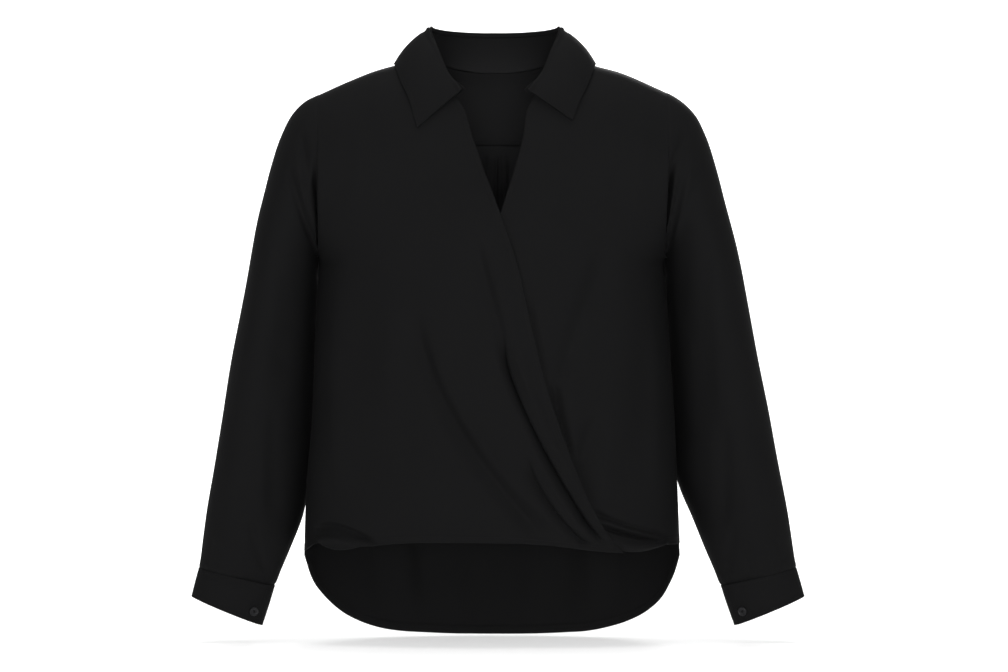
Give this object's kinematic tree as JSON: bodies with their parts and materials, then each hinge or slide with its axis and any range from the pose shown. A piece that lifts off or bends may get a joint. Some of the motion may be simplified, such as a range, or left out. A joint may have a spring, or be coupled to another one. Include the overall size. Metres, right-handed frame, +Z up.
{
  "type": "blouse",
  "caption": "Blouse with a crossed front, folded collar, long sleeves with buttoned cuffs and a long curved back, keeping the hollow form it has when worn.",
  "frame": {"origin": "mount worn: the middle of the shoulder line, level with where the shoulder seams meet the neck, where the wearer's shoulders hold the blouse up", "axes": "+Z up, -Y the front, +X towards the wearer's left; the blouse is upright as worn, sleeves hanging"},
  "size_m": [0.7663, 0.2432, 0.7655],
  "materials": {
    "black_crepe": "matt black crepe with a very faint sheen",
    "black_button": "glossy black button"
  },
  "bodies": {
    "root": {"front_over": "black_crepe", "front_under": "black_crepe", "back": "black_crepe", "yoke": "black_crepe", "collar_stand": "black_crepe", "collar_leaf": "black_crepe", "sleeve_right": "black_crepe", "sleeve_left": "black_crepe", "cuff_right": "black_crepe", "cuff_left": "black_crepe", "cuff_button_right": "black_button", "cuff_button_left": "black_button"}
  },
  "joints": []
}
